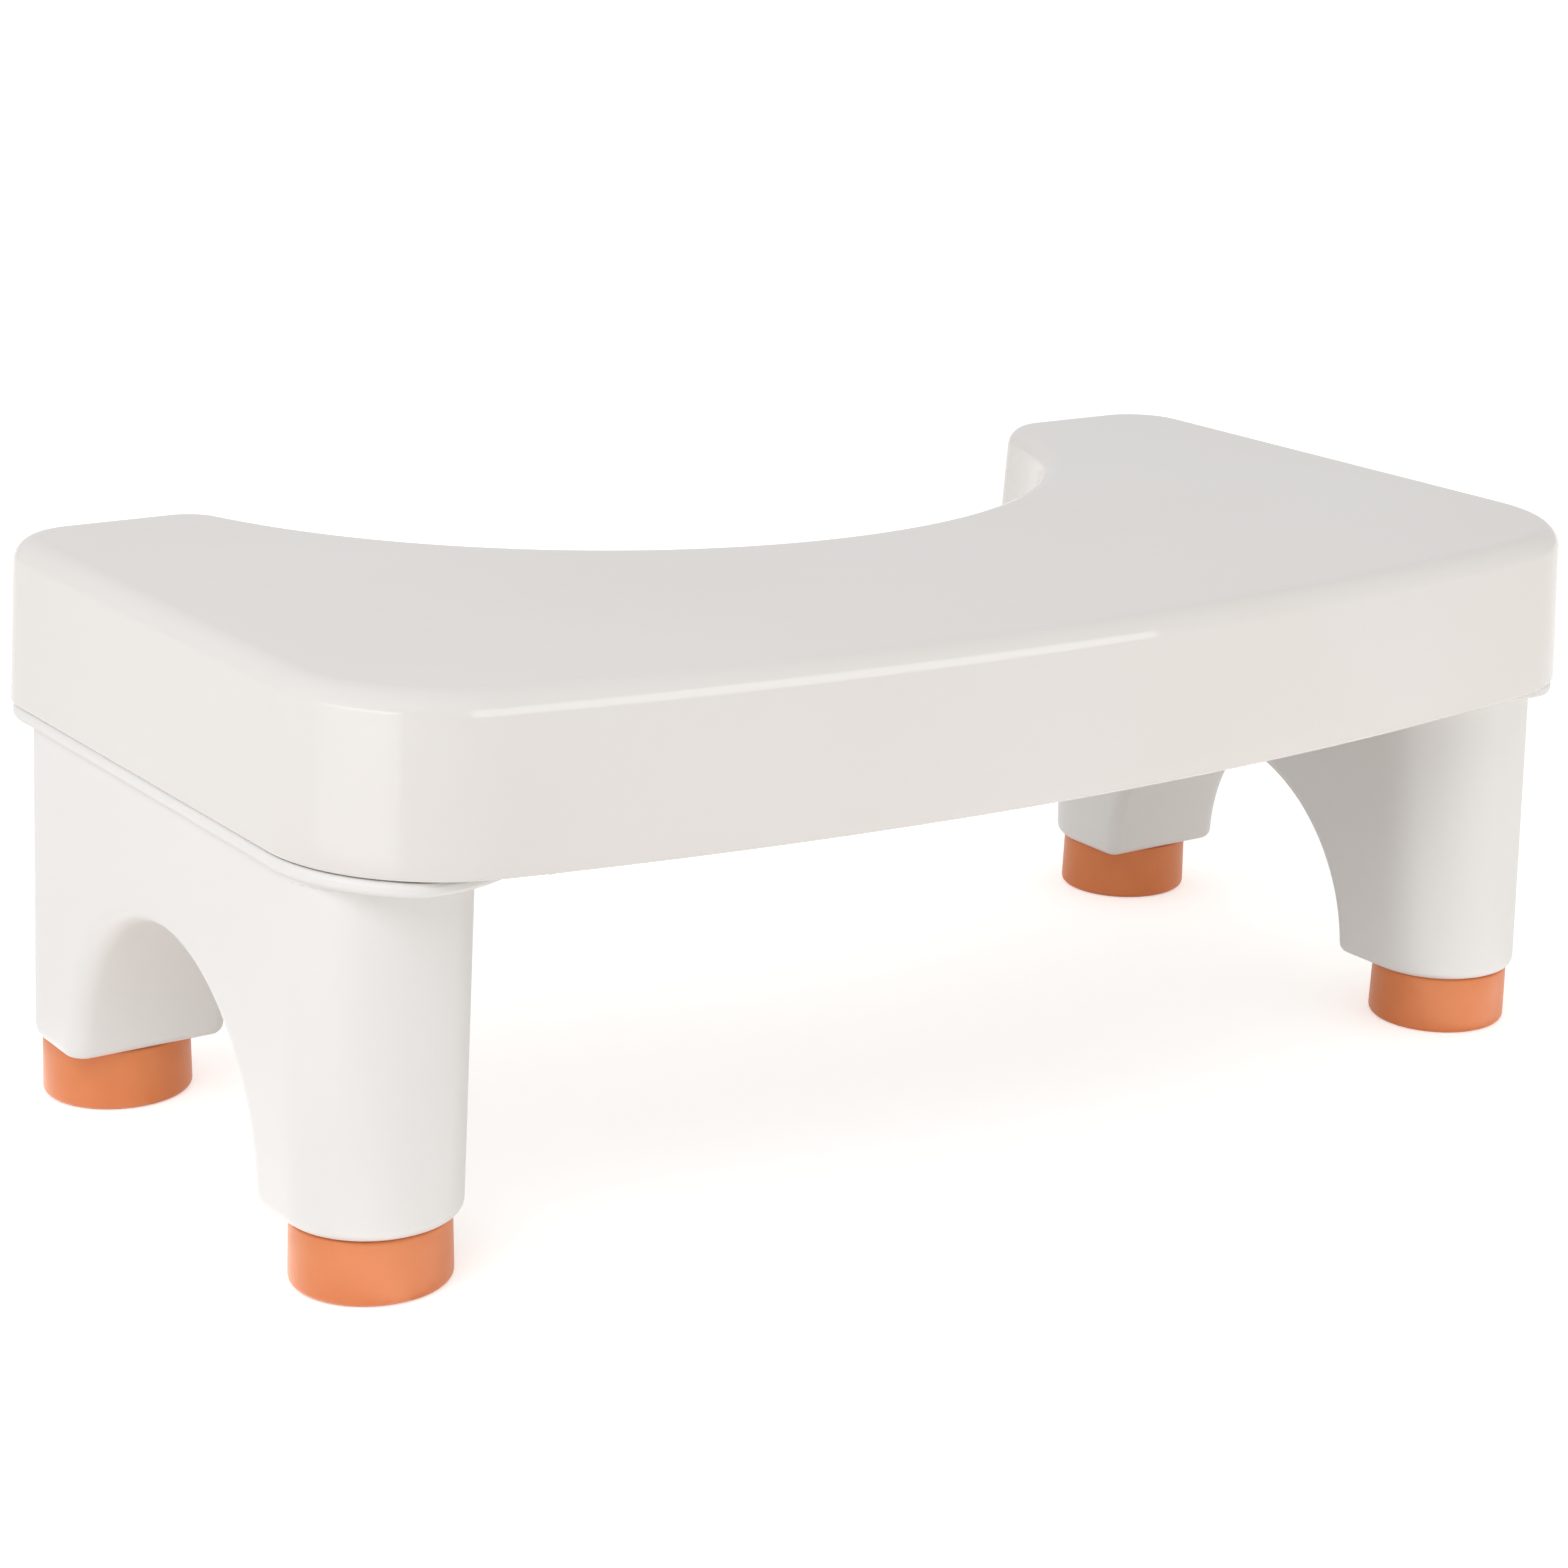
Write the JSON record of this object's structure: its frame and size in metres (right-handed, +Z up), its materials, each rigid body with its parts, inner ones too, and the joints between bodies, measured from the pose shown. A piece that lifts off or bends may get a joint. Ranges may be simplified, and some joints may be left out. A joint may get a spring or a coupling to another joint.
{
  "type": "toilet footstool",
  "caption": "Low toilet footstool: long moulded deck with a curved cut-out at the back, arched clip-in leg frames at the ends and round orange rubber feet.",
  "frame": {"origin": "on the floor, under the middle of the deck's outline", "axes": "+X along the deck to the right-hand end, +Y back towards the cut-out, +Z up; +Y completes the right-handed set"},
  "size_m": [0.43, 0.2398, 0.1618],
  "materials": {
    "gloss_deck_plastic": "glossy warm off-white moulded plastic",
    "satin_leg_plastic": "satin off-white moulded plastic",
    "orange_rubber": "matte orange moulded rubber"
  },
  "bodies": {
    "root": {"deck_shell": "gloss_deck_plastic", "left_leg_frame": "satin_leg_plastic", "right_leg_frame": "satin_leg_plastic", "front_left_foot": "orange_rubber", "front_right_foot": "orange_rubber", "rear_left_foot": "orange_rubber", "rear_right_foot": "orange_rubber"}
  },
  "joints": []
}
